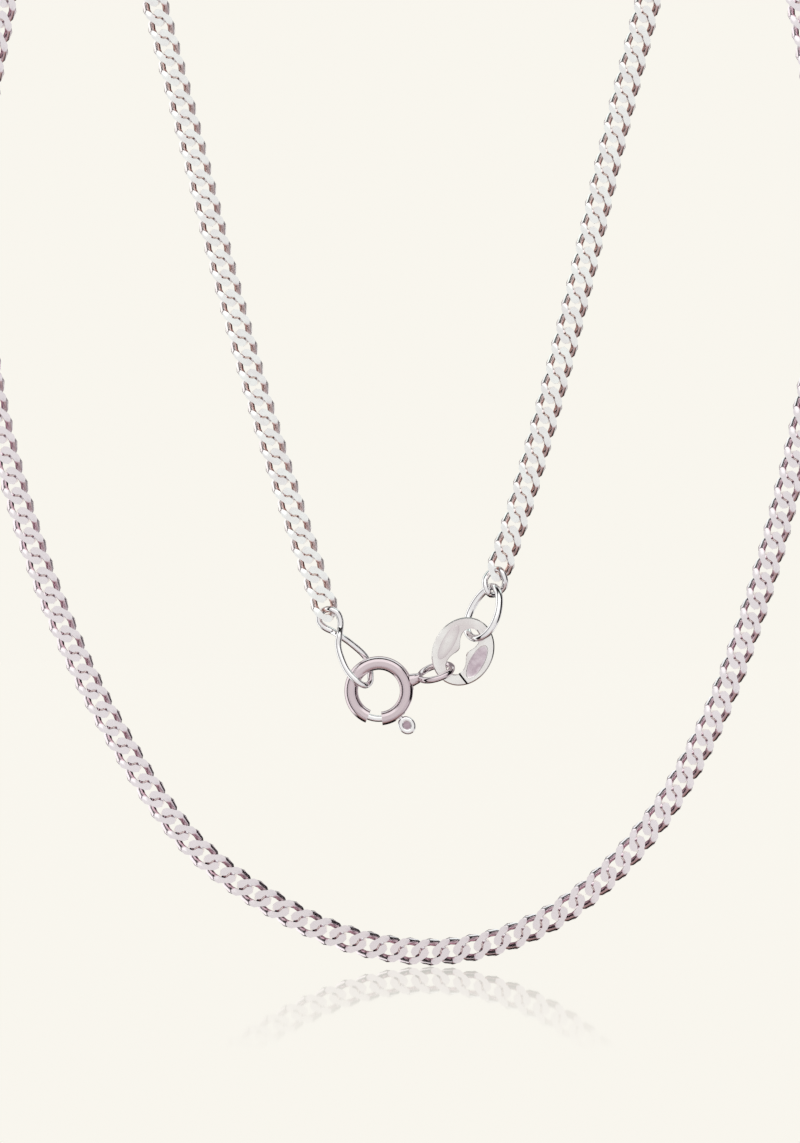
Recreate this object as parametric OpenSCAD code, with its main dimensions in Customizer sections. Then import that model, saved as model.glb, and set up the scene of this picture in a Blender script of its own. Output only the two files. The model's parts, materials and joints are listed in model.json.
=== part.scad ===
/* [Chain] */
// Distance from one link to the next along the chain
link_pitch = 1.78; // [1.7:0.01:1.9]
// Thickness of the wire that the links are bent from
link_wire = 0.5; // [0.44:0.01:0.52]
// Width of the chain across its flat side
chain_w = 2.28; // [2.2:0.01:2.5]
// How far the two ends of a link are turned out of the flat
crown_turn = 45; // [43:1:48]

/* [Hanging form] */
// Radius of the round rest that the two upper bends lie on
rest_r = 8.4; // [7:0.1:11]

/* [Twisted link] */
// Thickness of the wire of the twisted link
twist_wire = 0.55; // [0.45:0.01:0.58]

/* [End link] */
// Width of the small rounder link at the other end of the chain
end_w = 2.25; // [2.2:0.01:2.4]
// Length of the small rounder link
end_l = 2.8; // [2.75:0.01:2.95]

/* [Spring ring] */
// Outer diameter of the spring ring
ring_od = 6; // [5.9:0.05:6.3]
// Thickness of the tube that the spring ring is bent from
ring_tube = 1.2; // [1.1:0.01:1.24]
// Thickness of the sprung bolt inside the tube
bolt_d = 0.58; // [0.5:0.01:0.62]
// Distance that the bolt is pulled back, as an angle on the ring
bolt_travel = 44; // [36:1:46]
// Diameter of the round thumb bead on the bolt
bead_d = 1.45; // [1.2:0.05:1.6]
// Thickness of the thumb bead
bead_t = 0.8; // [0.6:0.05:1]
// Width of the dimple in each face of the thumb bead
dimple_d = 0.96; // [0.6:0.02:1]
// Depth of that dimple
dimple_h = 0.21; // [0.1:0.01:0.24]
// Thickness of the stem between the bolt and its thumb bead
stem_d = 0.4; // [0.3:0.02:0.5]
// Wire of the closed loop that is soldered to the spring ring
loop_wire = 0.56; // [0.46:0.01:0.6]
// Inner diameter of that closed loop
loop_id = 2.35; // [2.3:0.05:2.5]
// Thickness of the short collar between the tube and the closed loop
collar_d = 0.81; // [0.7:0.01:1]
// Length of the collar outside the tube
collar_l = 0.67; // [0.6:0.01:0.75]

/* [Tag ring] */
// Length of the flat oval tag
tag_l = 6.1; // [6:0.05:6.4]
// Width of the flat oval tag
tag_w = 5.2; // [5:0.05:5.5]
// Thickness of the tag
tag_t = 0.56; // [0.4:0.02:0.6]
// Width of the bevel along the edges of the tag
tag_edge = 0.16; // [0.1:0.01:0.18]
// Half length of the waisted hole, before it is rounded
hole_a = 1.5; // [1.46:0.01:1.54]
// Length of the plain raised pad
pad_l = 3.3; // [2.6:0.1:3.6]
// Width of the plain raised pad
pad_w = 1.05; // [0.8:0.05:1.1]
// Length of the plain sunk field
field_l = 2.9; // [2.4:0.1:3.2]
// Width of the plain sunk field
field_w = 1.15; // [0.8:0.05:1.15]
// Height of the pad and depth of the field
pad_h = 0.1; // [0.06:0.01:0.14]
// Width of the open joint in the rim of the tag
split_w = 0.12; // [0.08:0.01:0.2]

/* [Oval ring] */
// Thickness of the wire of the oval ring
oval_wire = 0.62; // [0.55:0.01:0.64]
// Outer length of the oval ring
oval_l = 5.4; // [5.35:0.05:5.6]
// Outer width of the oval ring
oval_w = 4.1; // [4:0.05:4.2]

/* [Clearances] */
// Gap between links that hang in each other
link_gap = 0.12; // [0.1:0.01:0.14]
// Gap between the end pieces, which hang more loosely
loose_gap = 0.15; // [0.12:0.01:0.2]
// Gap between the chain and the round rest
rest_gap = 0.05; // [0:0.01:0.2]
// Running gap between the bolt and the bore of the tube
bolt_gap = 0.05; // [0.03:0.01:0.08]
// Gap between the tube and the thumb bead
bead_gap = 0.08; // [0.05:0.01:0.15]

/* [Hidden] */
silver = [0.86, 0.87, 0.88];
round_fn = 24;
wire_fn = 16;
wire_sides = 10;

// Route of the chain, as [x, z] points read off its hanging form.
// The front loop, from the left upper bend round the bottom to the right one
front_route = [
  [-30.6, -10], [-31.9, -19], [-34.1, -29], [-35.8, -39], [-36.1, -49], [-35, -59],
  [-32.7, -69], [-29.3, -79], [-24.5, -89], [-18, -98.6], [-10, -104.5], [-2, -107.6],
  [6, -107.7], [14, -104.4], [21, -97.7], [26.2, -89], [30, -79], [32.8, -69],
  [35, -59], [36.1, -49], [35.8, -39], [34.2, -29], [31.9, -19], [30.6, -10]
];
// The two strands behind, from their lower ends up to the bends
back_left_route = [
  [-6.65, -78.5], [-9.8, -69], [-12.8, -59], [-15.5, -49], [-18, -39],
  [-20.6, -29], [-23.3, -19], [-25.6, -10]
];
back_right_route = [
  [8.65, -75], [10.6, -69], [13.4, -59], [15.9, -49], [18.2, -39],
  [20.7, -29], [23.2, -19], [25.5, -10]
];
// The upper bends, as [x of the left bend, x of the right bend, share of the way over]
bend_route = [[-29.1, 29.1, 1 / 3], [-27.3, 27.3, 2 / 3]];

// The rest: its axis, and the arc that the middle of the chain follows over it
crown_out = (chain_w - link_wire) / 4 * sin(crown_turn);
chain_r = rest_r + rest_gap + link_wire / 2 + crown_out;
rest_z = -rest_r;
bend_l = PI * chain_r;

// Unrolled, the chain lies in one plane: across is x, and along is the way over the rest
function unroll_front(p) = [p[0], p[1] - rest_z];
function unroll_back(p) = [p[0], bend_l + rest_z - p[1]];
function reverse(list) = [for (i = [len(list) - 1 : -1 : 0]) list[i]];
route = concat(
  [for (p = back_left_route) unroll_back(p)],
  [for (p = reverse(bend_route)) [p[0], bend_l * p[2]]],
  [for (p = front_route) unroll_front(p)],
  [for (p = bend_route) [p[1], bend_l * p[2]]],
  [for (p = reverse(back_right_route)) unroll_back(p)]
);

// A smooth curve through the points, cut into short steps
function spline(a, b, c, d, t) =
  0.5 * (2 * b + (c - a) * t + (2 * a - 5 * b + 4 * c - d) * t * t
  + (3 * b - a - 3 * c + d) * t * t * t);
steps = 10;
last = len(route) - 1;
function point(i) = i < 0 ? 2 * route[0] - route[1]
  : i > last ? 2 * route[last] - route[last - 1] : route[i];
curve = [
  for (i = [0 : last - 1], j = [0 : steps - 1])
    spline(point(i - 1), point(i), point(i + 1), point(i + 2), j / steps),
  route[last]
];
lengths = [for (i = 0, s = 0; i < len(curve);
  i = i + 1, s = s + (i < len(curve) ? norm(curve[i] - curve[i - 1]) : 0)) s];
chain_l = lengths[len(lengths) - 1];
across = [for (i = [0 : len(curve) - 1]) [lengths[i], curve[i][0]]];
along = [for (i = [0 : len(curve) - 1]) [lengths[i], curve[i][1]]];
link_n = round(chain_l / link_pitch);
pitch = chain_l / link_n;
function unrolled(s) = [lookup(s, across), lookup(s, along)];

// Places a piece in a frame of three directions at a point
module frame(x, y, z, o) {
  multmatrix([
    [x[0], y[0], z[0], o[0]], [x[1], y[1], z[1], o[1]], [x[2], y[2], z[2], o[2]], [0, 0, 0, 1]
  ]) children();
}

// Lays a piece on the hanging chain, its width across and its length along
module on_chain(s) {
  p = unrolled(s);
  way = unrolled(s + pitch / 2) - unrolled(s - pitch / 2);
  arc = min(max(p[1], 0), bend_l);
  turn = arc / chain_r * 180 / PI;
  up = [0, sin(turn), cos(turn)];
  inward = [0, cos(turn), -sin(turn)];
  t = (way[0] * [1, 0, 0] + way[1] * up) / norm(way);
  frame(cross(inward, t), inward, t,
    [p[0], 0, rest_z] - chain_r * inward + (p[1] - arc) * up) children();
}

// One link of a curb chain: two straight legs and four arcs, its ends turned out of the flat.
// b is half the width and h half the length, both to the middle of the wire.
function leg_y(b, a) = b * (sin(crown_turn) - sin(a)) / cos(crown_turn);
function half_length(b, a) = leg_y(b, a) / tan(a) + b * cos(a) / cos(crown_turn);
function leg_tilt(b, h, lo = 8, hi = crown_turn, n = 30) =
  let (mid = (lo + hi) / 2)
  n == 0 ? mid
  : half_length(b, mid) > h ? leg_tilt(b, h, mid, hi, n - 1) : leg_tilt(b, h, lo, mid, n - 1);

// Parts of the wire differ by a hair in thickness and run a little into each other
hair = 0.008;
run_in = 3;
module link(b, h, wire) {
  a = leg_tilt(b, h);
  leg = [0, -sin(a), cos(a)];
  crown = [-cos(crown_turn), sin(crown_turn), 0];
  leg_top = [b, -leg_y(b, a), leg_y(b, a) / tan(a)];
  sweep_a = acos(leg * crown);
  arc_r = norm([0, 0, h] - leg_top) / 2 / sin(sweep_a / 2);
  to_centre = (crown - cos(sweep_a) * leg) / sin(sweep_a);
  for (side = [0, 1]) rotate([0, 0, 180 * side]) {
    frame(cross(leg, [1, 0, 0]), [1, 0, 0], -leg, [b, 0, 0])
      cylinder(d = wire, h = 2 * norm([leg_top[1], leg_top[2]]), center = true, $fn = wire_fn);
    for (end = [0, 1]) rotate([180 * end, 0, 0])
      frame(-to_centre, leg, cross(leg, to_centre), leg_top + arc_r * to_centre)
        rotate_extrude(start = -run_in, angle = sweep_a + run_in * (1 + side), $fn = round_fn)
          translate([arc_r, 0]) circle(d = wire - 2 * hair * (1 + side), $fn = wire_fn);
  }
}

link_b = (chain_w - link_wire) / 2;
link_h = (pitch + link_wire + link_gap) / 2;
module links(first, end) {
  color(silver) for (i = [first : end]) on_chain(i * pitch) link(link_b, link_h, link_wire);
}
middle_link = floor(link_n / 2);
module chain_left() { links(0, middle_link); }
module chain_right() { links(middle_link + 1, link_n); }

// Where the strands end, and their directions there
function rolled(p) = [p[0], chain_r, rest_z + bend_l - p[1]];
left_end = rolled(route[0]);
right_end = rolled(route[last]);
function unit(v) = v / norm(v);
right_down = unit(right_end - rolled(unrolled(chain_l - pitch)));
left_down = unit(left_end - rolled(unrolled(pitch)));
left_across = cross([0, 1, 0], -left_down);
function spoke(a) = [cos(a), 0, sin(a)];

// The small rounder link that hangs in the right end of the chain
end_b = (end_w - link_wire) / 2;
end_h = (end_l - link_wire) / 2;
end_mid = right_end + right_down * (link_h + end_h - link_wire - loose_gap);
module end_link() {
  color(silver)
    frame(cross([0, -1, 0], right_down), [0, -1, 0], right_down, end_mid)
      link(end_b, end_h, link_wire);
}

// A wire swept round a closed route, with its ends met. out is the side that its cuts start on.
function wire_cut(p, t, out, r) =
  let (u = unit(out - (out * t) * t), v = cross(t, u), n = wire_sides)
  [for (k = [0 : n - 1]) p + r * (cos(360 * k / n) * u + sin(360 * k / n) * v)];
module closed_wire(pts, d, outs) {
  m = len(pts);
  n = wire_sides;
  cuts = [for (i = [0 : m - 1])
    wire_cut(pts[i], unit(pts[(i + 1) % m] - pts[(i + m - 1) % m]), outs[i], d / 2)];
  polyhedron(
    [for (c = cuts) each c],
    [for (i = [0 : m - 1], k = [0 : n - 1])
      [i * n + k, ((i + 1) % m) * n + k, ((i + 1) % m) * n + (k + 1) % n, i * n + (k + 1) % n]]
  );
}

// The oval ring hangs in the small link, its right side and its foot turned forward
oval_lean = 17;
oval_foot = 14;
oval_turn = 54;
oval_cuts = 48;
oval_top = end_mid + right_down * (end_h - (link_wire + oval_wire) / 2 - loose_gap);
oval_up = [sin(oval_lean) * cos(oval_foot), sin(oval_foot), cos(oval_lean) * cos(oval_foot)];
oval_flat = [cos(oval_lean), 0, -sin(oval_lean)];
oval_side = cos(oval_turn) * oval_flat + sin(oval_turn) * cross(oval_flat, oval_up);
oval_a = (oval_w - oval_wire) / 2;
oval_h = (oval_l - oval_wire) / 2;
oval_mid = oval_top - oval_h * oval_up;
oval_low = oval_mid - oval_h * oval_up;
module oval_ring() {
  spokes = [for (i = [0 : oval_cuts - 1])
    oval_a * cos(360 * i / oval_cuts) * oval_side + oval_h * sin(360 * i / oval_cuts) * oval_up];
  color(silver) closed_wire([for (s = spokes) oval_mid + s], oval_wire, spokes);
}

// The tag: a flat oval with a waisted hole, a plain raised pad, a plain sunk field and a split
// rim. It hangs by the rim of its hole in the foot of the oval ring, which stands a little
// before the rim as seen from the front.
tag_lean = 61;
tag_waist = 1.03;
tag_hang = -19.2;
tag_seat = 0.086;
tag_cuts = 60;
tag_back = 0.04;
split_at = 213;
pad_shift = 0.1;
field_shift = -0.2;
function hole_r(a) = hole_a * sqrt(cos(2 * a) + sqrt(pow(tag_waist, 4) - pow(sin(2 * a), 2)));
function rim_r(a) = tag_l * tag_w / 2 / norm([tag_w * cos(a), tag_l * sin(a)]);
clasp_y = oval_mid[1] + tag_back;
tag_flat = oval_low
  - (hole_r(tag_hang) - oval_wire / 2 + tag_seat) * spoke(tag_lean + tag_hang);
tag_mid = [tag_flat[0], clasp_y, tag_flat[2]];
module tag_body() {
  n = tag_cuts;
  cut = [[0, -1], [0, 1], [1, 2], [-1, 2], [0, 1], [0, -1], [-1, -2], [1, -2]];
  function rim_point(a, k) =
    let (out = k > 2 && k < 7, r = out ? rim_r(a) : hole_r(a))
    (r + cut[k][0] * tag_edge) * [cos(a), sin(a), 0]
    + [0, 0, sign(cut[k][1]) * (abs(cut[k][1]) == 2 ? tag_t / 2 : tag_t / 2 - tag_edge)];
  polyhedron(
    [for (i = [0 : n - 1], k = [0 : 7]) rim_point(360 * i / n, k)],
    [for (i = [0 : n - 1], k = [0 : 7])
      [i * 8 + k, ((i + 1) % n) * 8 + k, ((i + 1) % n) * 8 + (k + 1) % 8, i * 8 + (k + 1) % 8]]
  );
}
module oval_block(l, w, h) {
  n = round_fn;
  linear_extrude(h, center = true)
    polygon([for (i = [0 : n - 1]) [l / 2 * cos(360 * i / n), w / 2 * sin(360 * i / n)]]);
}
pad_out = (tag_w / 2 + hole_a * sqrt(pow(tag_waist, 2) - 1)) / 2;
module tag_ring() {
  color(silver) translate(tag_mid) rotate([90, 0, 0]) rotate([0, 0, tag_lean]) difference() {
    union() {
      tag_body();
      translate([pad_shift, pad_out, tag_t / 2]) oval_block(pad_l, pad_w, 2 * pad_h);
    }
    translate([field_shift, -pad_out, tag_t / 2]) oval_block(field_l, field_w, 2 * pad_h);
    rotate([0, 0, split_at]) translate([0, -split_w / 2, -tag_t])
      cube([tag_l, split_w, 2 * tag_t]);
  }
}

// The spring ring: a bent tube, bored for the bolt, with a gap in front of the bolt, a slot for
// the stem of the thumb bead, and a closed loop soldered to it by a short collar. Angles are
// counted from the right, as seen from the front.
gap_from = -113;
gap_to = -84;
bead_at = -51;
loop_at = 18;
loop_turn = 68;
loop_hang = -186.4;
loop_seat = 0.184;
solder = 0.25;
bolt_reach = 6;
bolt_end = 8;
blind_end = 2;
spring_room = 16;
past = 1;
slot_steps = 10;
slot_end = 0.2;
bore_d = bolt_d + 2 * bolt_gap;
slot_w = stem_d + 2 * bolt_gap;
slot_l = slot_w + 2 * slot_end;
ring_r = (ring_od - ring_tube) / 2;
loop_r = (loop_id + loop_wire) / 2;
loop_mid = ring_od / 2 + collar_l + loop_wire / 2 - solder + loop_r;
ring_mid = tag_mid
  + (hole_r(loop_hang) - loop_wire / 2 - loop_seat) * spoke(tag_lean + loop_hang)
  - (loop_mid + loop_r) * spoke(loop_at);
module in_ring() {
  translate(ring_mid) rotate([90, 0, 0]) children();
}
module arc_tube(d, from, to) {
  rotate_extrude(start = from, angle = to - from, $fn = 72)
    translate([ring_r, 0]) circle(d = d, $fn = round_fn);
}
module clasp_ring() {
  color(silver) in_ring() {
    difference() {
      union() {
        arc_tube(ring_tube, gap_to, 360 + gap_from);
        rotate([0, 0, loop_at]) translate([ring_r, 0, 0]) rotate([0, 90, 0])
          cylinder(d = collar_d, h = ring_tube / 2 + collar_l, $fn = round_fn);
      }
      arc_tube(bore_d, gap_to - past, bolt_end + bolt_travel + spring_room);
      arc_tube(bore_d, gap_from - bolt_reach - blind_end, gap_from + past);
      for (step = [0 : slot_steps])
        rotate([0, 0, bead_at + bolt_travel * step / slot_steps])
          translate([ring_r, -slot_l / 2, -slot_w / 2]) cube([ring_tube, slot_l, slot_w]);
    }
    rotate([0, 0, loop_at]) translate([loop_mid, 0, 0]) rotate([-loop_turn, 0, 0])
      rotate_extrude($fn = 48) translate([loop_r, 0]) circle(d = loop_wire, $fn = round_fn);
  }
}
module clasp_bolt() {
  dimple_r = (dimple_h * dimple_h + dimple_d * dimple_d / 4) / (2 * dimple_h);
  color(silver) in_ring() {
    arc_tube(bolt_d, gap_from - bolt_reach, bolt_end);
    rotate([0, 0, bead_at]) translate([ring_r, 0, 0]) rotate([0, 90, 0])
      cylinder(d = stem_d, h = ring_tube / 2 + bead_gap + bead_d / 4, $fn = round_fn);
    rotate([0, 0, bead_at]) translate([ring_od / 2 + bead_gap + bead_d / 2, 0, 0]) difference() {
      cylinder(d = bead_d, h = bead_t, center = true, $fn = round_fn);
      for (side = [-1, 1]) translate([0, 0, side * (bead_t / 2 + dimple_r - dimple_h)])
        sphere(r = dimple_r, $fn = round_fn);
    }
  }
}

// The twisted link: from the last link of the chain it crosses itself and goes round the tube.
// Its upper points are set from the last link, as [across, forward, down], and its lower points
// from the middle of the tube where the link holds it, as [x, y, z].
hold_at = 130;
twist_cuts = 3;
twist_out = [0.2, 1, 0.1];
hold_mid = ring_mid + ring_r * spoke(hold_at);
twist_top = left_end + left_down * (link_h - (link_wire + twist_wire) / 2 - loose_gap);
function from_chain(p) = twist_top + p[0] * left_across + [0, -p[1], 0] + p[2] * left_down;
twist_start = [
  [0, 0, 0], [0.48, 0.42, 0.14], [0.86, 0.5, 0.62], [0.9, 0.44, 1.25], [0.7, 0.38, 1.85]
];
twist_low = [
  [-1.88, -0.36, 2.91], [-1.98, -0.42, 2.21], [-1.78, -0.65, 1.21], [-1.2, -0.95, -0.09],
  [-0.32, -1.06, -1.02], [0.34, -0.8, -1.36], [0.76, -0.1, -1.09], [0.82, 0.5, -0.59],
  [0.74, 0.98, 0.11], [0.49, 1.08, 0.86], [0.04, 0.9, 1.46], [-0.96, 0.6, 2.31],
  [-1.81, 0.36, 2.91]
];
twist_end = [
  [-0.05, -0.4, 1.95], [-0.58, -0.44, 1.42], [-0.86, -0.5, 0.75], [-0.5, -0.43, 0.15]
];
twist_route = concat(
  [for (p = twist_start) from_chain(p)],
  [for (p = twist_low) hold_mid + p],
  [for (p = twist_end) from_chain(p)]
);
module twisted_link() {
  m = len(twist_route);
  pts = [for (i = [0 : m - 1], j = [0 : twist_cuts - 1])
    spline(twist_route[(i + m - 1) % m], twist_route[i], twist_route[(i + 1) % m],
      twist_route[(i + 2) % m], j / twist_cuts)];
  color(silver) closed_wire(pts, twist_wire, [for (p = pts) twist_out]);
}

chain_left();
chain_right();
twisted_link();
end_link();
clasp_ring();
clasp_bolt();
tag_ring();
oval_ring();
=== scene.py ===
import bpy
import json
import math
import random
from mathutils import Matrix, Vector


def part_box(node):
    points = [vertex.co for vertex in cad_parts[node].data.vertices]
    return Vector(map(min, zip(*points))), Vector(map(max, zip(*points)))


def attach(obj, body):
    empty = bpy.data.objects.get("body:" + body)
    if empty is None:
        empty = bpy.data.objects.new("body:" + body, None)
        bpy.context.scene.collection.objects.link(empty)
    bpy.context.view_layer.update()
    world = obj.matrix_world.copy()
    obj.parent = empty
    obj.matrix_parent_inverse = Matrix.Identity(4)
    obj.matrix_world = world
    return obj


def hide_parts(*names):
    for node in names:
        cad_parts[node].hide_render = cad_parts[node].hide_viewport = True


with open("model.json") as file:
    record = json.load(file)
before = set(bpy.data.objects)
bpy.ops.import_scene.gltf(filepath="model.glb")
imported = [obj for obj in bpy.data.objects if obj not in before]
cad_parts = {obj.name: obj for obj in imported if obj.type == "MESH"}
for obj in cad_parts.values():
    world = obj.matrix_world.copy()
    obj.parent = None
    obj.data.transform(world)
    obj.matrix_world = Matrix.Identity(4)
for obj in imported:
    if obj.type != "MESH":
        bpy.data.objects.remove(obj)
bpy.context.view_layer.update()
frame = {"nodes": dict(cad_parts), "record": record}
bpy.ops.object.select_all(action="DESELECT")

# Camera: a long lens level with the clasp, square to the front loop, as the photograph was taken.
camera_away = 1.2
camera_side = -0.000086
camera_height = -0.0757
view_height = 0.09794
bpy.ops.object.camera_add(
    location=(camera_side, -camera_away, camera_height), rotation=(math.pi / 2, 0, 0))
camera = bpy.context.object
camera.name = "camera"
camera.data.sensor_width = 36
camera.data.lens = camera.data.sensor_width * camera_away / view_height
camera.data.clip_start = 0.05
camera.data.clip_end = 60
bpy.context.scene.camera = camera


# Curb chain: soft silver wire is wound into rings, linked, twisted until each link lies flat in
# its neighbours, and cut on both faces with a diamond tool, which leaves two bright flats on
# each face of a link. The chain hangs over a round rest, in a long front loop and two strands.
link_pitch = 0.00178
side_wire = 0.00064
end_wire = 0.00078
chain_wide = 0.00236
link_gap = 0.00002
rest_r = 0.0084
chain_r = -frame["record"]["mounts"][1]["pos_m"][1]
link_turn = math.radians(-58)
cut_at = 0.00038
blunt_ends = 0.85
crest_rise = 0.8
arc_steps = 4
wire_steps = 2
loose_turn = math.radians(0.8)

front_route = [
    (-0.0306, -0.0100), (-0.0319, -0.0190), (-0.0341, -0.0290), (-0.0358, -0.0390),
    (-0.0361, -0.0490), (-0.0350, -0.0590), (-0.0327, -0.0690), (-0.0293, -0.0790),
    (-0.0245, -0.0890), (-0.0180, -0.0986), (-0.0100, -0.1045), (-0.0020, -0.1076),
    (0.0060, -0.1077), (0.0140, -0.1044), (0.0210, -0.0977), (0.0262, -0.0890),
    (0.0300, -0.0790), (0.0328, -0.0690), (0.0350, -0.0590), (0.0361, -0.0490),
    (0.0358, -0.0390), (0.0342, -0.0290), (0.0319, -0.0190), (0.0306, -0.0100)]
back_left_route = [
    (-0.00665, -0.0785), (-0.0098, -0.0690), (-0.0128, -0.0590), (-0.0155, -0.0490),
    (-0.0180, -0.0390), (-0.0206, -0.0290), (-0.0233, -0.0190), (-0.0256, -0.0100)]
back_right_route = [
    (0.00865, -0.0750), (0.0106, -0.0690), (0.0134, -0.0590), (0.0159, -0.0490),
    (0.0182, -0.0390), (0.0207, -0.0290), (0.0232, -0.0190), (0.0255, -0.0100)]
bend_route = [(-0.0291, 0.0291, 1 / 3), (-0.0273, 0.0273, 2 / 3)]

bend_long = math.pi * chain_r
unrolled = [Vector((x, bend_long - rest_r - z)) for x, z in back_left_route]
unrolled += [Vector((left, bend_long * share)) for left, right, share in reversed(bend_route)]
unrolled += [Vector((x, z + rest_r)) for x, z in front_route]
unrolled += [Vector((right, bend_long * share)) for left, right, share in bend_route]
unrolled += [Vector((x, bend_long - rest_r - z)) for x, z in reversed(back_right_route)]


def smooth_point(before, here, after, beyond, t):
    """A point of the smooth curve through four points, between the middle two."""
    return 0.5 * (2 * here + (after - before) * t
                  + (2 * before - 5 * here + 4 * after - beyond) * t ** 2
                  + (3 * here - before - 3 * after + beyond) * t ** 3)


curve_steps = 10
ends = [2 * unrolled[0] - unrolled[1]] + unrolled + [2 * unrolled[-1] - unrolled[-2]]
curve = [
    smooth_point(*ends[i:i + 4], step / curve_steps)
    for i in range(len(unrolled) - 1) for step in range(curve_steps)]
curve.append(unrolled[-1])
lengths = [0.0]
for before, here in zip(curve, curve[1:]):
    lengths.append(lengths[-1] + (here - before).length)
link_count = round(lengths[-1] / link_pitch)
pitch = lengths[-1] / link_count


def on_curve(distance):
    """The point of the unrolled chain at a distance from its left end."""
    distance = min(max(distance, 0.0), lengths[-1])
    i = next(i for i in range(1, len(lengths)) if distance <= lengths[i] or i == len(lengths) - 1)
    share = (distance - lengths[i - 1]) / (lengths[i] - lengths[i - 1])
    return curve[i - 1].lerp(curve[i], share)


def link_place(number):
    """The matrix that lays a link on the hanging chain: across, along and outwards."""
    here = on_curve(number * pitch)
    way = on_curve((number + 0.5) * pitch) - on_curve((number - 0.5) * pitch)
    arc = min(max(here.y, 0.0), bend_long)
    turn = arc / chain_r
    up = Vector((0, math.sin(turn), math.cos(turn)))
    outward = Vector((0, -math.cos(turn), math.sin(turn)))
    along = (Vector((way.x, 0, 0)) + way.y * up).normalized()
    place = Vector((here.x, 0, -rest_r)) + chain_r * outward + (here.y - arc) * up
    turned = Matrix((along.cross(outward), along, outward)).transposed().to_4x4()
    return Matrix.Translation(place) @ turned


def curb_link(name, wide, long, side_wire, end_wire, cut):
    """One link as the active object: a blunt ring of wire, twisted, and cut flat on both faces."""
    half_wide = (wide - side_wire) / 2
    half_long = (long - end_wire) / 2
    bpy.ops.object.select_all(action="DESELECT")
    bpy.ops.curve.primitive_bezier_circle_add(radius=half_wide)
    link = bpy.context.object
    link.name = name
    for point in link.data.splines[0].bezier_points:
        way = (point.handle_right - point.handle_left).normalized()
        reach = blunt_ends * Vector((way.x * half_wide, way.y * half_long, 0))
        place = Vector((point.co.x, point.co.y * half_long / half_wide, 0))
        point.radius = end_wire / side_wire if abs(place.y) > half_wide / 2 else 1
        point.handle_left_type = "FREE"
        point.handle_right_type = "FREE"
        point.co = place
        point.handle_left = place - reach
        point.handle_right = place + reach
    link.data.splines[0].resolution_u = arc_steps
    link.data.bevel_depth = side_wire / 2
    link.data.bevel_resolution = wire_steps
    bpy.ops.object.convert(target="MESH")
    twist = link.modifiers.new("twist", "SIMPLE_DEFORM")
    twist.deform_method = "TWIST"
    twist.deform_axis = "Y"
    twist.angle = link_turn * long / half_long
    bpy.ops.object.modifier_apply(modifier="twist")
    for vertex in link.data.vertices:
        vertex.co.z *= 1 + crest_rise * (vertex.co.y / half_long) ** 2
    bpy.ops.object.mode_set(mode="EDIT")
    bpy.ops.mesh.select_mode(type="VERT")
    for face in (-1, 1):
        bpy.ops.mesh.select_all(action="SELECT")
        bpy.ops.mesh.bisect(
            plane_co=(0, 0, face * cut), plane_no=(0, 0, face), use_fill=True, clear_outer=True,
            threshold=0.0000001)
    bpy.ops.mesh.select_all(action="SELECT")
    bpy.ops.mesh.remove_doubles(threshold=side_wire / 200)
    bpy.ops.object.mode_set(mode="OBJECT")
    # Painted shade: a value on each vertex of the wire that faces into the link's hole, which the
    # material uses to darken the wire there to a brown-pink.
    recess = link.data.attributes.new("recess", "FLOAT", "POINT")
    link.data.attributes.new("polish", "FLOAT", "POINT")
    for vertex in link.data.vertices:
        inward = -vertex.normal.dot(Vector((vertex.co.x, vertex.co.y * wide / long, 0)).normalized())
        recess.data[vertex.index].value = max(0.0, inward)
    for face in link.data.polygons:
        if abs(face.normal.z) > 0.999 and abs(abs(face.center.z) - cut) < side_wire / 100:
            face.material_index = 1
    bpy.ops.object.shade_smooth_by_angle(angle=math.radians(50))
    return link


class Tone:
    """One socket of a finish. Sums and products of tones add their own Math nodes."""

    def __init__(self, tree, socket=None):
        self.tree = tree
        self.socket = socket

    def node(self, kind, settings, sockets, output=0):
        """Adds a node: its settings first, then the values or tones of its sockets."""
        made = self.tree.nodes.new(kind)
        for name, value in settings.items():
            if name == "stops":
                ramp = made.color_ramp.elements
                ramp.remove(ramp[1])
                ramp[0].position = value[0][0]
                ramp[0].color = (*value[0][1], 1)
                for place, color in value[1:]:
                    ramp.new(place).color = (*color, 1)
            else:
                setattr(made, name, value)
        for name, value in sockets.items():
            if isinstance(value, Tone):
                self.tree.links.new(value.socket, made.inputs[name])
            else:
                made.inputs[name].default_value = value
        return Tone(self.tree, made.outputs[output] if made.outputs else None)

    def maths(self, operation, first, second):
        return self.node("ShaderNodeMath", {"operation": operation}, {0: first, 1: second})

    def __add__(self, other):
        return self.maths("ADD", self, other)

    def __sub__(self, other):
        return self.maths("SUBTRACT", self, other)

    def __rsub__(self, other):
        return self.maths("SUBTRACT", other, self)

    def __mul__(self, other):
        return self.maths("MULTIPLY", self, other)

    __radd__ = __add__
    __rmul__ = __mul__


def blend_tones(share, first, second):
    """A colour between two others, each a tone or three numbers."""
    first = first if isinstance(first, Tone) else (*first, 1)
    second = second if isinstance(second, Tone) else (*second, 1)
    return share.node("ShaderNodeMix", {"data_type": "RGBA"}, {"Factor": share, 6: first, 7: second}, 2)


def spread(value, low, high):
    """A tone that rises from 0 to 1 as a value goes from low to high."""
    return value.node("ShaderNodeMapRange", {"clamp": True}, {
        "Value": value, "From Min": low, "From Max": high})


def new_finish(name):
    """An empty material, and its first tone: the place on the object, in metres."""
    finish = bpy.data.materials.new(name)
    finish.use_nodes = True
    finish.node_tree.nodes.clear()
    return finish, Tone(finish.node_tree).node("ShaderNodeTexCoord", {}, {}, "Object")


def cloud(place, scale, detail=3.0):
    """A soft cloudy tone between 0 and 1."""
    sockets = {"Vector": place, "Scale": scale, "Detail": detail}
    return place.node("ShaderNodeTexNoise", {}, sockets, "Fac")


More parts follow.
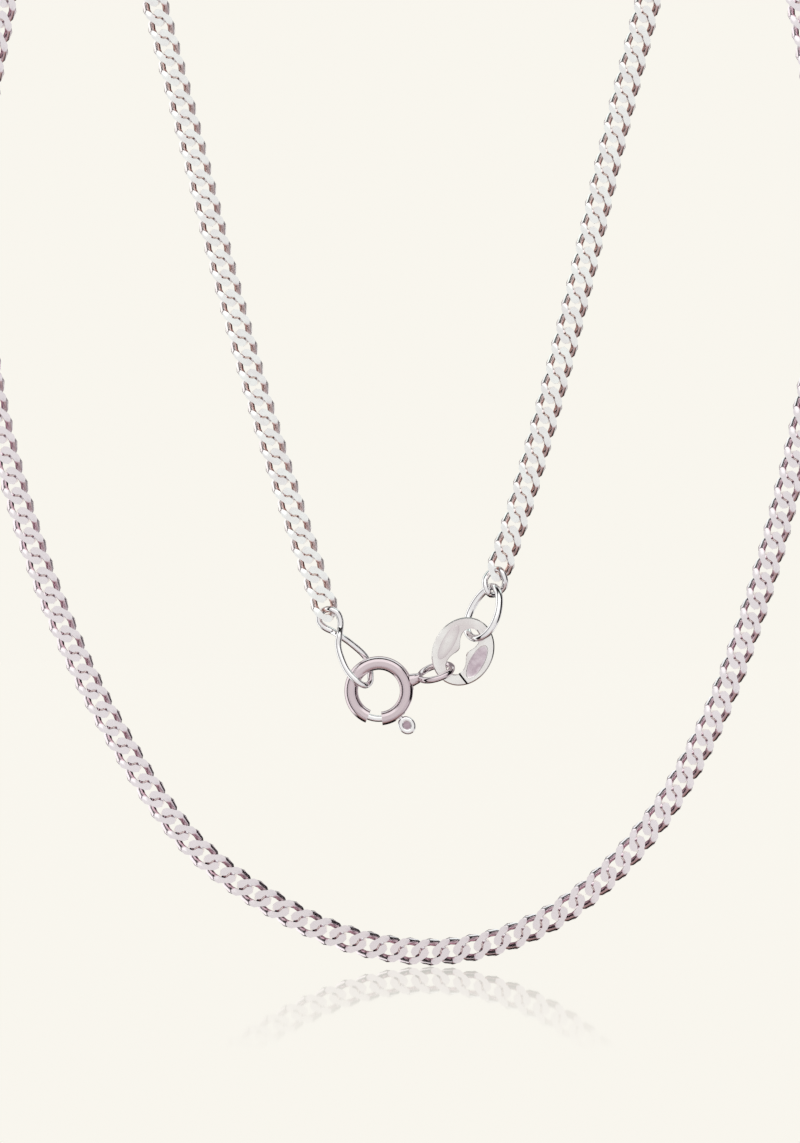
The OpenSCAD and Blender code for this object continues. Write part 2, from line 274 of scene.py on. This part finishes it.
def polished(tone, hair, rough, scratch_depth):
    """Ends a silver finish: its colour, its fine scratches, and how it shines."""
    bump = hair.node("ShaderNodeBump", {}, {"Height": hair, "Strength": 0.3, "Distance": scratch_depth})
    shader = hair.node("ShaderNodeBsdfPrincipled", {}, {
        "Base Color": tone, "Metallic": 1.0, "Roughness": rough + 0.06 * hair, "Normal": bump})
    hair.node("ShaderNodeOutputMaterial", {}, {"Surface": shader})


wire_silver, place = new_finish("wire_silver")
# Painted reflection: by its depth, the wire of the front loop is set more mauve than the wire of the back
# strands, for the different light that falls on them.
depth = place.node("ShaderNodeSeparateXYZ", {}, {"Vector": place}, "Y")
back_share = spread(depth, -0.006, 0.006)
polish = place.node("ShaderNodeAttribute", {"attribute_name": "polish"}, {}, "Fac")
recess = place.node("ShaderNodeAttribute", {"attribute_name": "recess"}, {}, "Fac")
bright = blend_tones(back_share, (0.95, 0.84, 0.90), (0.97, 0.93, 0.92))
shaded = blend_tones(back_share, (0.60, 0.36, 0.42), (0.72, 0.47, 0.42))
uneven = 0.5 * polish + 0.5 * spread(cloud(place, 900), 0.35, 0.65)
tone = blend_tones(uneven, bright, (0.82, 0.75, 0.77))
# Painted shade: where the wire faces into the link's hole it is darkened to a brown-pink, for the shade
# and warm reflections that fall in the grooves.
tone = blend_tones(spread(recess, -0.05, 0.7), tone, shaded)
polished(tone, cloud(place, 9000, 2.0), 0.15, 0.000003)

cut_silver, place = new_finish("diamond_cut_silver")
depth = place.node("ShaderNodeSeparateXYZ", {}, {"Vector": place}, "Y")
height = place.node("ShaderNodeSeparateXYZ", {}, {"Vector": place}, "Z")
polish = place.node("ShaderNodeAttribute", {"attribute_name": "polish"}, {}, "Fac")
# Painted reflection: the flats of the back strands are set pale mint, those of the front loop mauve, and
# those near the foot of the loop a darker mauve, for the different light that falls on them.
tone = blend_tones(spread(depth, -0.006, 0.006), (0.89, 0.83, 0.86), (0.97, 0.99, 0.97))
tone = blend_tones(spread(height, -0.095, -0.108), tone, (0.84, 0.76, 0.78))
uneven = 0.3 * polish + 0.3 * spread(cloud(place, 1400), 0.35, 0.65)
tone = blend_tones(uneven, tone, (0.80, 0.75, 0.77))
polished(tone, cloud(place, 12000, 2.0), 0.14, 0.000002)

pattern = curb_link(
    "chain_link", chain_wide, pitch + 2 * end_wire + link_gap, side_wire, end_wire, cut_at)
pattern.data.materials.append(wire_silver)
pattern.data.materials.append(cut_silver)


def hang_links(name, numbers):
    """Copies of the link along one half of the chain, joined into one piece."""
    bpy.ops.object.select_all(action="DESELECT")
    for number in numbers:
        link = pattern.copy()
        link.data = pattern.data.copy()
        bpy.context.scene.collection.objects.link(link)
        loose = Matrix.Rotation(dice.uniform(-loose_turn, loose_turn), 4, "Y")
        link.data.transform(link_place(number) @ loose)
        polish = [dice.random()] * len(link.data.vertices)
        link.data.attributes["polish"].data.foreach_set("value", polish)
        link.select_set(True)
        bpy.context.view_layer.objects.active = link
    bpy.ops.object.join()
    half = bpy.context.object
    half.name = name
    return half


dice = random.Random(4)
middle_link = link_count // 2
left_half = hang_links("left_chain", range(0, middle_link + 1))
right_half = hang_links("right_chain", range(middle_link + 1, link_count + 1))
bpy.data.objects.remove(pattern)
for half, node in ((left_half, "chain_left"), (right_half, "chain_right")):
    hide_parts(node)
    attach(half, "necklace")


# Twisted link: one long ring of soldered wire, crossed over itself by hand. Its upper loop holds
# the last link of the left strand, and its lower loop goes round the tube of the spring ring.
joint_wire = 0.00056
hold_turn = math.radians(130)
tube_ring_r = 0.0024
ring_mid = Vector(frame["record"]["behaviour"]["joints"][0]["pos_m"])
left_end = link_place(0).translation
left_down = (left_end - link_place(1).translation).normalized()
left_across = Vector((0, -1, 0)).cross(left_down)
twist_top = left_end + 0.000526 * left_down
hold_mid = ring_mid + tube_ring_r * Vector((math.cos(hold_turn), 0, math.sin(hold_turn)))
upper_start = [(0, 0, 0), (0.48, 0.42, 0.14), (0.86, 0.5, 0.62), (0.9, 0.44, 1.25), (0.7, 0.38, 1.85)]
lower_loop = [
    (-1.88, -0.36, 2.91), (-1.98, -0.42, 2.21), (-1.78, -0.65, 1.21), (-1.2, -0.95, -0.09),
    (-0.32, -1.06, -1.02), (0.34, -0.8, -1.36), (0.76, -0.1, -1.09), (0.82, 0.5, -0.59),
    (0.74, 0.98, 0.11), (0.49, 1.08, 0.86), (0.04, 0.9, 1.46), (-0.96, 0.6, 2.31),
    (-1.81, 0.36, 2.91)]
upper_end = [(-0.05, -0.4, 1.95), (-0.58, -0.44, 1.42), (-0.86, -0.5, 0.75), (-0.5, -0.43, 0.15)]


def from_chain(across, forward, down):
    return twist_top + 0.001 * (across * left_across + Vector((0, -forward, 0)) + down * left_down)


def wire_loop(name, route, wire):
    """A closed ring of round wire through the points of a route."""
    bpy.ops.object.select_all(action="DESELECT")
    bpy.ops.curve.primitive_bezier_circle_add(radius=wire)
    loop = bpy.context.object
    loop.name = name
    bend = loop.data.splines[0]
    bend.bezier_points.add(len(route) - len(bend.bezier_points))
    for i, point in enumerate(bend.bezier_points):
        reach = (route[(i + 1) % len(route)] - route[i - 1]) / 6
        point.handle_left_type = "FREE"
        point.handle_right_type = "FREE"
        point.co = route[i]
        point.handle_left = route[i] - reach
        point.handle_right = route[i] + reach
    bend.resolution_u = 5
    loop.data.bevel_depth = wire / 2
    loop.data.bevel_resolution = 6
    bpy.ops.object.convert(target="MESH")
    bpy.ops.object.shade_smooth()
    return loop


route = [from_chain(*p) for p in upper_start]
route += [hold_mid + 0.001 * Vector(p) for p in lower_loop]
route += [from_chain(*p) for p in upper_end]
twisted = wire_loop("twisted_wire_link", route, joint_wire)

joint_silver, place = new_finish("joint_silver")
tone = blend_tones(cloud(place, 700), (0.97, 0.96, 0.96), (0.88, 0.86, 0.87))
polished(tone, cloud(place, 7000, 2.0), 0.06, 0.000002)
twisted.data.materials.append(joint_silver)
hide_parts("twisted_link")
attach(twisted, "necklace")


# Small end link: a rounder link of thinner wire that isn't cut flat, closed round the last link
# of the right strand and twisted so that its wire stays clear of that link and the oval ring.
route_steps = 16
end_ring_wire = 0.00055
end_wide = 0.0023
end_long = 0.00282
end_turn = math.radians(47)
end_drop = 0.0017
right_end = link_place(link_count)
right_down = (right_end.translation - link_place(link_count - 1).translation).normalized()
end_mid = right_end.translation + end_drop * right_down
out = Vector((0, 1, 0))
route = []
for step in range(route_steps):
    angle = math.tau * step / route_steps
    across = (end_wide - end_ring_wire) / 2 * math.cos(angle)
    turn = end_turn * math.sin(angle)
    route.append(
        end_mid + across * math.cos(turn) * right_down.cross(out) + across * math.sin(turn) * out
        + (end_long - end_ring_wire) / 2 * math.sin(angle) * right_down)
end_ring = wire_loop("small_end_link", route, end_ring_wire)
end_ring.data.materials.append(joint_silver)
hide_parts("end_link")
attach(end_ring, "necklace")


# Oval ring: a jump ring of round wire, narrower at its top, that hangs in the small end link.
# Its foot is turned forward and passes before the rim of the tag.
oval_wire = 0.00065
oval_half_wide = 0.0017
oval_half_long = 0.00239
oval_lean = math.radians(20)
oval_foot = math.radians(10)
oval_turn = math.radians(48)
oval_taper = 0.16
oval_drop = 0.00044
oval_top = end_mid + oval_drop * right_down
oval_up = Vector((
    math.sin(oval_lean) * math.cos(oval_foot), math.sin(oval_foot),
    math.cos(oval_lean) * math.cos(oval_foot)))
oval_flat = Vector((math.cos(oval_lean), 0, -math.sin(oval_lean)))
oval_side = math.cos(oval_turn) * oval_flat + math.sin(oval_turn) * oval_flat.cross(oval_up)
oval_mid = oval_top - oval_half_long * oval_up
route = []
for step in range(route_steps):
    angle = math.tau * step / route_steps
    egg = 1 - oval_taper * math.sin(angle)
    route.append(oval_mid + egg * oval_half_wide * math.cos(angle) * oval_side
                 + oval_half_long * math.sin(angle) * oval_up)
oval = wire_loop("oval_jump_ring", route, oval_wire)
oval.data.materials.append(joint_silver)
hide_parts("oval_ring")
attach(oval, "necklace")


# Tag: an oval of rolled silver sheet with a waisted hole, stamped out, its edges filed and its
# faces tumbled to satin. The raised pad and the sunk field are left plain, and the rim is slit.
tag_half_long = 0.00305
tag_half_wide = 0.0026
tag_half_thick = 0.00028
tag_edge = 0.0001
tag_hole = 0.0015
tag_waist = 1.03
tag_lean = math.radians(61)
tag_low, tag_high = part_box("tag_ring")
tag_mid = Vector(((tag_low[0] + tag_high[0]) / 2, ring_mid.y, (tag_low[2] + tag_high[2]) / 2))
bpy.ops.object.select_all(action="DESELECT")
bpy.ops.mesh.primitive_torus_add(major_radius=1, minor_radius=0.3, major_segments=120, minor_segments=12)
tag = bpy.context.object
tag.name = "waisted_tag"
for vertex in tag.data.vertices:
    angle = math.atan2(vertex.co.y, vertex.co.x)
    round_wire = math.atan2(vertex.co.z, math.hypot(vertex.co.x, vertex.co.y) - 1)
    section = round(math.degrees(round_wire) / 30) % 12
    rim = tag_half_long * tag_half_wide / math.hypot(
        tag_half_wide * math.cos(angle), tag_half_long * math.sin(angle))
    hole = tag_hole * math.sqrt(
        math.cos(2 * angle) + math.sqrt(tag_waist ** 4 - math.sin(2 * angle) ** 2))
    flat = 1 if section in (2, 3, 4) else -1 if section in (8, 9, 10) else 0
    far = {
        0: rim, 1: rim, 11: rim, 2: rim - tag_edge, 10: rim - tag_edge, 3: (rim + hole) / 2,
        9: (rim + hole) / 2, 4: hole + tag_edge, 8: hole + tag_edge, 5: hole, 6: hole, 7: hole}[section]
    level = {
        0: 0.0, 6: 0.0, 1: 1 - tag_edge / tag_half_thick, 5: 1 - tag_edge / tag_half_thick,
        7: tag_edge / tag_half_thick - 1, 11: tag_edge / tag_half_thick - 1}.get(section, flat)
    vertex.co = (far * math.cos(angle), far * math.sin(angle), level * tag_half_thick)


def carve(piece, tool, operation):
    """Adds or cuts away the shape of a tool, which is used up."""
    for each in (piece, tool):
        bpy.ops.object.select_all(action="DESELECT")
        each.select_set(True)
        bpy.context.view_layer.objects.active = each
        bpy.ops.object.transform_apply(location=True, rotation=True, scale=True)
    stamp = piece.modifiers.new("stamp", "BOOLEAN")
    stamp.operation = operation
    stamp.solver = "EXACT"
    stamp.object = tool
    bpy.context.view_layer.objects.active = piece
    bpy.ops.object.modifier_apply(modifier="stamp")
    bpy.data.objects.remove(tool)


pad_out = (tag_half_wide + tag_hole * math.sqrt(tag_waist ** 2 - 1)) / 2
pad_shift = 0.0001
pad_mid = (pad_shift, pad_out, tag_half_thick)
pad_half_long = 0.00165
pad_half_wide = 0.000525
pad_rise = 0.00018
pad_round = 0.00006
field_shift = -0.0002
field_mid = (field_shift, -pad_out, tag_half_thick)
field_half_long = 0.0016
field_half_wide = 0.00062
field_deep = 0.00013
bpy.ops.object.select_all(action="DESELECT")
bpy.ops.mesh.primitive_cylinder_add(vertices=40, radius=1, depth=1, location=pad_mid)
pad = bpy.context.object
bpy.ops.object.mode_set(mode="EDIT")
bpy.ops.mesh.select_all(action="SELECT")
bpy.ops.transform.resize(value=(pad_half_long, pad_half_wide, pad_rise), center_override=pad_mid)
bpy.ops.object.mode_set(mode="OBJECT")
soft = pad.modifiers.new("soft", "BEVEL")
soft.width = pad_round
soft.segments = 2
bpy.ops.object.modifier_apply(modifier="soft")
carve(tag, pad, "UNION")
bpy.ops.mesh.primitive_uv_sphere_add(segments=40, ring_count=20, radius=1, location=field_mid)
field = bpy.context.object
field.scale = (field_half_long, field_half_wide, field_deep)
carve(tag, field, "DIFFERENCE")
slit_turn = math.radians(213)
slit_cut = math.radians(247)
slit_wide = 0.00014
slit_long = 0.0024
slit_deep = 0.002
slit_slant = math.radians(32)
slit_out = 0.00225
slit_near = 0.0004
slit_mid = slit_out * Vector((math.cos(slit_turn), math.sin(slit_turn), 0))
slit_way = Vector((math.cos(slit_cut), math.sin(slit_cut), 0))
bpy.ops.mesh.primitive_cube_add(size=1, location=slit_mid, rotation=(slit_slant, 0, slit_cut))
slit = bpy.context.object
slit.scale = (slit_long, slit_wide, slit_deep)
carve(tag, slit, "DIFFERENCE")
# Painted shade: the walls of the slit take the second, near-black material.
for face in tag.data.polygons:
    from_slit = face.center - slit_mid
    beside = from_slit.cross(slit_way).length < slit_near and from_slit.length < slit_long / 2
    if beside and abs(face.normal.dot(slit_way)) < 0.05 and abs(face.normal.z) < 0.8:
        face.material_index = 1
tag_turn = Matrix.Rotation(math.pi / 2, 4, "X") @ Matrix.Rotation(tag_lean, 4, "Z")
tag.data.transform(Matrix.Translation(tag_mid) @ tag_turn)
bpy.ops.object.select_all(action="DESELECT")
tag.select_set(True)
bpy.context.view_layer.objects.active = tag
bpy.ops.object.shade_smooth_by_angle(angle=math.radians(30))

satin_silver, place = new_finish("satin_silver")


def oval_share(place, mid, half_long, half_wide, low, high):
    """A tone over an oval of the tag's face, by its distance from the oval's middle."""
    way = place.node("ShaderNodeMapping", {"vector_type": "TEXTURE"}, {
        "Vector": place, "Location": tag_mid + tag_turn @ Vector(mid), "Rotation": tag_turn.to_euler(),
        "Scale": (half_long, half_wide, 1)})
    return spread(way.node("ShaderNodeVectorMath", {"operation": "LENGTH"}, {0: way}, "Value"), low, high)


in_field = oval_share(place, field_mid, field_half_long, field_half_wide, 1.0, 0.85)
on_pad = oval_share(place, pad_mid, pad_half_long, pad_half_wide, 1.06, 0.98)
pad_middle = oval_share(place, pad_mid, pad_half_long, pad_half_wide, 0.9, 0.4)
tone = blend_tones(spread(cloud(place, 500), 0.35, 0.65), (0.93, 0.91, 0.89), (0.78, 0.72, 0.72))
# Painted shade: a darker mauve band round the edge of the raised pad.
tone = blend_tones(0.55 * on_pad * (1.0 - pad_middle), tone, (0.66, 0.58, 0.60))
# Painted shade: the sunk field is set a darker, cloudy mauve, for the shade in its dish.
field_shade = blend_tones(spread(cloud(place, 1600), 0.35, 0.65), (0.76, 0.66, 0.71), (0.56, 0.45, 0.51))
tone = blend_tones(in_field, tone, field_shade)
polished(tone, cloud(place, 9000, 2.0), 0.2, 0.000002)
# Painted shade: near-black for the walls of the slit, where shade falls in the narrow cut.
slit_shade_finish, place = new_finish("slit_painted_shade")
tone = blend_tones(cloud(place, 3000), (0.03, 0.02, 0.02), (0.10, 0.07, 0.08))
polished(tone, cloud(place, 9000, 2.0), 0.5, 0.000002)
tag.data.materials.append(satin_silver)
tag.data.materials.append(slit_shade_finish)
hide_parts("tag_ring")
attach(tag, "necklace")


# Spring ring: a bent silver tube with a gap, bored for the bolt and slit for its stem, with a
# closed loop soldered to it by a short collar. A shoulder of solder widens the collar at the tube.
tube_silver, place = new_finish("tube_silver")
# Painted shade: the tube's silver, which the collar solder shares, is set darker and more mauve than the
# wire's, for the shade and reflections on the tube.
tone = blend_tones(cloud(place, 420), (0.74, 0.63, 0.66), (0.66, 0.56, 0.59))
polished(tone, cloud(place, 6000, 2.0), 0.06, 0.000002)
clasp_tube = frame["nodes"]["clasp_ring"]
clasp_tube.data.materials.clear()
clasp_tube.data.materials.append(tube_silver)
collar_turn = math.radians(18)
collar_out = Vector((math.cos(collar_turn), 0, math.sin(collar_turn)))
solder_root = 0.0005
solder_tip = 0.00034
solder_long = 0.00094
solder_reach = 0.00325
bpy.ops.object.select_all(action="DESELECT")
bpy.ops.mesh.primitive_cone_add(
    vertices=40, radius1=solder_root, radius2=solder_tip, depth=solder_long,
    location=ring_mid + solder_reach * collar_out, rotation=(0, math.pi / 2 - collar_turn, 0))
solder = bpy.context.object
solder.name = "collar_solder"
solder.scale = (1.2, 0.9, 1.0)
bpy.ops.object.transform_apply(location=True, rotation=True, scale=True)
bpy.ops.object.shade_smooth_by_angle(angle=math.radians(40))
solder.data.materials.append(tube_silver)
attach(solder, "necklace")


# Bolt: the sprung wire that closes the gap, with a stem through the slot of the tube and a
# dished oval bead on it for the thumb nail.
bolt_half_thick = 0.00029
bolt_from = math.radians(-119)
bolt_to = math.radians(8)
stem_r = 0.0002
stem_long = 0.00094
stem_reach = 0.00287
bead_r = 0.0005
bead_rim = 0.00023
bead_reach = 0.00382
bead_oval = 1.14
dish_thick = 0.12
bead_turn = math.radians(-51)
bead_out = Vector((math.cos(bead_turn), 0, math.sin(bead_turn)))
bead_mid = ring_mid + bead_reach * bead_out
bead_lie = (math.pi / 2, -bead_turn, 0)
bpy.ops.object.select_all(action="DESELECT")
bpy.ops.mesh.primitive_torus_add(
    major_radius=tube_ring_r, minor_radius=bolt_half_thick, major_segments=120, minor_segments=20,
    location=ring_mid, rotation=(math.pi / 2, 0, 0))
bolt = bpy.context.object
bolt.name = "sprung_bolt"
bpy.ops.object.mode_set(mode="EDIT")
for turn, side in ((bolt_from, 1), (bolt_to, -1)):
    bpy.ops.mesh.select_all(action="SELECT")
    bpy.ops.mesh.bisect(
        plane_co=ring_mid, plane_no=(side * math.sin(turn), 0, -side * math.cos(turn)),
        use_fill=True, clear_outer=True, threshold=0.0000001)
bpy.ops.object.mode_set(mode="OBJECT")
bpy.ops.object.transform_apply(location=True, rotation=True, scale=True)
# Painted shade: the dimple of the bead is set dark mauve, for the shade in its dish.
dish_painted_shade, place = new_finish("dish_painted_shade")
tone = blend_tones(cloud(place, 2500), (0.30, 0.20, 0.25), (0.62, 0.50, 0.56))
polished(tone, cloud(place, 9000, 2.0), 0.2, 0.000003)
bpy.ops.mesh.primitive_cylinder_add(
    vertices=20, radius=stem_r, depth=stem_long, location=ring_mid + stem_reach * bead_out,
    rotation=(0, math.pi / 2 - bead_turn, 0))
stem = bpy.context.object
bpy.ops.mesh.primitive_torus_add(
    major_radius=bead_r, minor_radius=bead_rim, major_segments=40, minor_segments=16,
    location=bead_mid, rotation=bead_lie)
bead = bpy.context.object
bead.scale = (bead_oval, 1.0, 1.0)
bpy.ops.mesh.primitive_uv_sphere_add(
    segments=32, ring_count=16, radius=bead_r, location=bead_mid, rotation=bead_lie)
web = bpy.context.object
web.scale = (bead_oval, 1.0, dish_thick)
for part in (bolt, stem, bead):
    part.data.materials.append(joint_silver)
web.data.materials.append(dish_painted_shade)
for part in (stem, bead, web):
    part.select_set(True)
bpy.ops.object.transform_apply(location=True, rotation=True, scale=True)
bolt.select_set(True)
bpy.context.view_layer.objects.active = bolt
bpy.ops.object.join()
bpy.ops.object.shade_smooth_by_angle(angle=math.radians(40))
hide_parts("clasp_bolt")
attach(bolt, "bolt")


# Studio: a pale floor just under the loop that mirrors a little, and a light tent of four walls
# and an open front, with bright cloths, grey gaps and black edges between them.
floor_at = -0.10925
cream = (0.945, 0.921, 0.855)
bpy.ops.object.select_all(action="DESELECT")
bpy.ops.mesh.primitive_plane_add(size=8, location=(0, 0, floor_at))
floor = bpy.context.object
floor.name = "floor"
floor.visible_glossy = False
paper, place = new_finish("pale_floor")
glow = place.node("ShaderNodeEmission", {}, {"Color": (*cream, 1), "Strength": 1.0})
mirror = place.node("ShaderNodeBsdfGlossy", {}, {"Color": (1, 1, 1, 1), "Roughness": 0.02})
ways = place.node("ShaderNodeSeparateXYZ", {}, {"Vector": place}, "Y")
share = 0.4 * spread(ways, -0.22, -0.02)
both = place.node("ShaderNodeMixShader", {}, {0: share, 1: glow, 2: mirror})
place.node("ShaderNodeOutputMaterial", {}, {"Surface": both})
floor.data.materials.append(paper)

tent = bpy.data.worlds.new("light_tent")
tent.use_nodes = True
tent.node_tree.nodes.clear()
way = Tone(tent.node_tree).node("ShaderNodeTexCoord", {}, {}, "Generated")
sideways = way.node("ShaderNodeSeparateXYZ", {}, {"Vector": way}, "X")
depth = way.node("ShaderNodeSeparateXYZ", {}, {"Vector": way}, "Y")
upward = way.node("ShaderNodeSeparateXYZ", {}, {"Vector": way}, "Z")
black = (0.01, 0.008, 0.01)
grey = (0.30, 0.28, 0.29)
brown = (0.36, 0.22, 0.19)
pearl = (0.80, 0.79, 0.80)
opening = (0.88, 0.88, 0.87)
mint = (1.15, 1.32, 1.27)
white = (1.25, 1.27, 1.25)


def wall(*stops):
    """The colours of one wall of the tent, from the back, 0, to the open front, 1."""
    return way.node("ShaderNodeValToRGB", {"stops": ((0.0, cream), (0.05, cream)) + stops}, {
        "Fac": depth * -0.5 + 0.5})


left_wall = wall((0.06, grey), (0.14, grey), (0.19, white), (0.53, white), (0.58, black),
    (0.70, black), (0.75, pearl), (0.90, pearl), (0.94, opening))
right_wall = wall((0.06, grey), (0.12, grey), (0.16, pearl), (0.26, pearl), (0.31, black),
    (0.71, black), (0.76, pearl), (0.90, pearl), (0.94, opening))
lower_right = wall((0.06, grey), (0.16, grey), (0.20, white), (0.34, white), (0.38, grey),
    (0.52, grey), (0.58, pearl), (0.90, pearl), (0.94, opening))
roof = wall((0.06, grey), (0.20, grey), (0.25, mint), (0.44, mint), (0.49, black), (0.63, black),
    (0.69, white), (0.93, white), (0.97, opening))
under = wall((0.06, grey), (0.08, black), (0.46, black), (0.52, brown), (0.66, (0.54, 0.43, 0.43)),
    (0.82, pearl), (0.90, pearl), (0.94, opening))
lower = spread(upward, -0.25, -0.35)
right_wall = blend_tones(lower, right_wall, lower_right)
sides = blend_tones(spread(sideways, -0.1, 0.1), left_wall, right_wall)
ends = blend_tones(spread(upward, -0.1, 0.1), under, roof)
steepness = upward.maths("ABSOLUTE", upward, 0.0) - upward.maths("ABSOLUTE", sideways, 0.0)
walls = blend_tones(spread(steepness, -0.12, 0.12), sides, ends)
seen = way.node("ShaderNodeLightPath", {}, {}, "Is Camera Ray")
shine = way.node("ShaderNodeBackground", {}, {"Color": blend_tones(seen, walls, cream), "Strength": 1.0})
way.node("ShaderNodeOutputWorld", {}, {"Surface": shine})
bpy.context.scene.world = tent
bpy.context.scene.view_settings.view_transform = "Standard"
